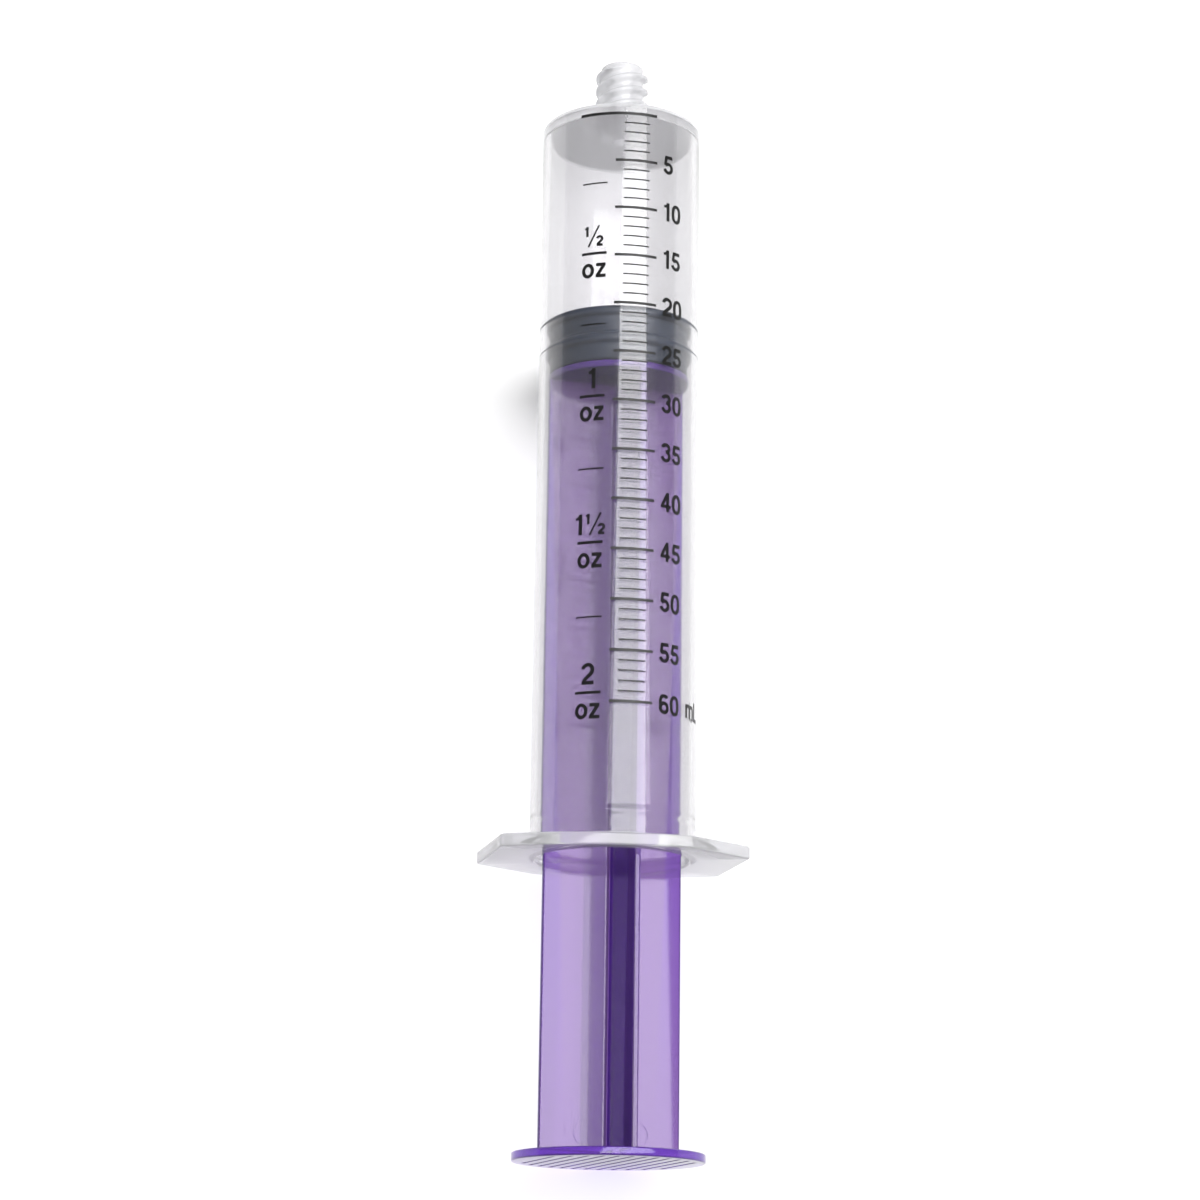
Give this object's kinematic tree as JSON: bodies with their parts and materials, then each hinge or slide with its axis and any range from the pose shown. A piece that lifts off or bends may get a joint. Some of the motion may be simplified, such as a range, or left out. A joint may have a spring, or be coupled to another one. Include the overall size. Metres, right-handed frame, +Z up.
{
  "type": "oral syringe",
  "caption": "Large oral syringe: clear barrel with finger flange and threaded tip, rubber stopper and cross-ribbed plunger rod, for measuring and giving liquid doses.",
  "frame": {"origin": "middle of the bounding box's base, under the syringe as it lies on its side", "axes": "+Y along the syringe's axis towards the tip, +Z up, the flange's long sides parallel to X"},
  "size_m": [0.0474, 0.201, 0.0334],
  "materials": {
    "barrel": "glossy clear translucent polypropylene",
    "stopper": "satin slate-grey moulded rubber",
    "plunger_rod": "glossy transparent violet polypropylene"
  },
  "bodies": {
    "barrel": {"barrel": "barrel"},
    "stopper": {"stopper": "stopper"},
    "plunger_rod": {"plunger_rod": "plunger_rod"}
  },
  "joints": [
    {"name": "plunger_slide", "type": "slide", "parent": "barrel", "child": "stopper", "axis": [0, 1, 0], "range_m": [-0.0835, 0.0362]},
    {"name": "plunger_spin", "type": "hinge", "parent": "stopper", "child": "plunger_rod", "pos_m": [0, 0.039, 0.0167], "axis": [0, 1, 0], "continuous": true}
  ]
}
